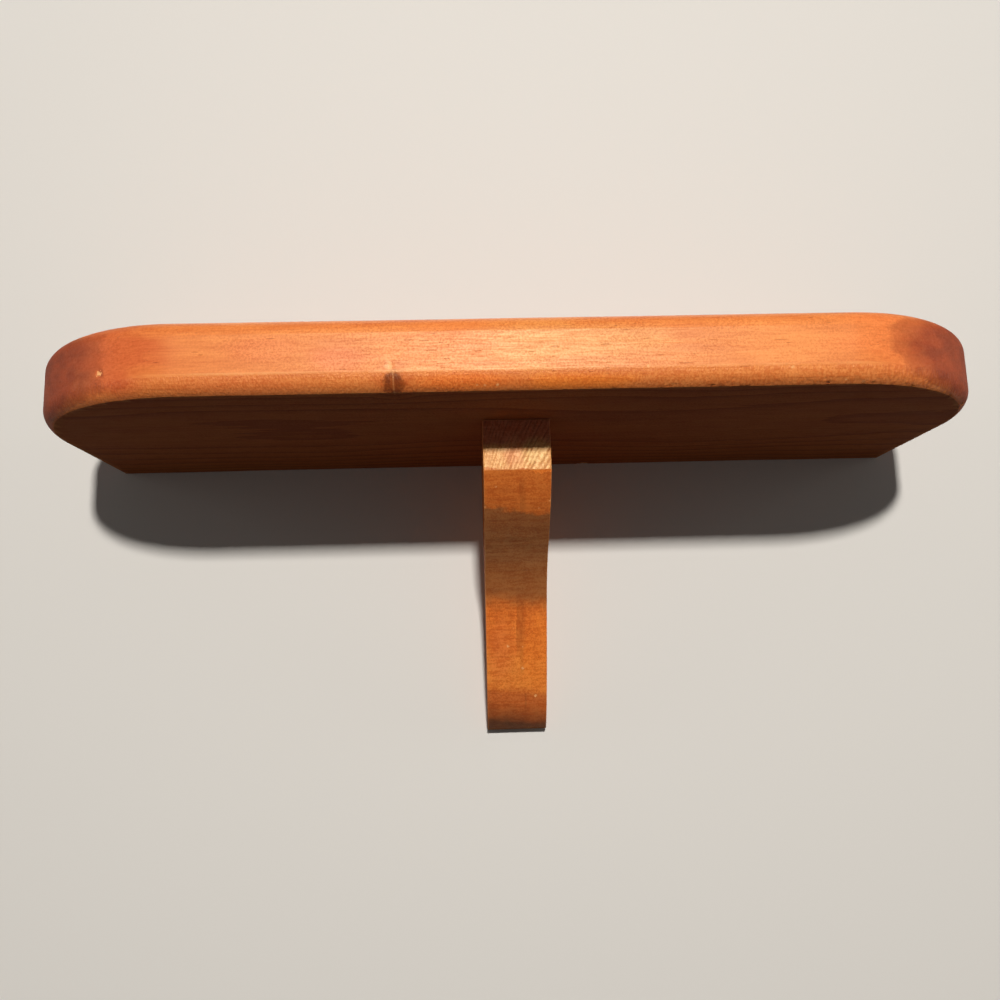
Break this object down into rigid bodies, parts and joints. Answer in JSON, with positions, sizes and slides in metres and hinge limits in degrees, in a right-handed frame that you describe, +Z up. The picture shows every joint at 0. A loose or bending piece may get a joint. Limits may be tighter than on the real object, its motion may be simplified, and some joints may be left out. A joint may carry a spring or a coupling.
{
  "type": "wall shelf",
  "caption": "Small stained softwood wall shelf: a board with large rounded front corners on a central scrolled bracket, hung by a keyhole plate in the bracket's back.",
  "frame": {"origin": "in the plane of the wall, at the middle of the round entry of the keyhole in the bracket's back", "axes": "+X along the shelf to the right as seen from the front, +Y into the wall, +Z up"},
  "size_m": [0.254, 0.089, 0.1033],
  "materials": {
    "board_wood": "satin, orange-brown stained pine",
    "bracket_wood": "satin, orange-brown stained pine",
    "plug_wood": "satin, orange-brown stained pine",
    "plate_steel": "dull zinc plated",
    "screw_steel": "dull zinc plated"
  },
  "bodies": {
    "root": {"shelf_board": "board_wood", "bracket": "bracket_wood", "bracket_screws": "screw_steel", "screw_plugs": "plug_wood", "keyhole_plate": "plate_steel", "plate_screws": "screw_steel"}
  },
  "joints": []
}
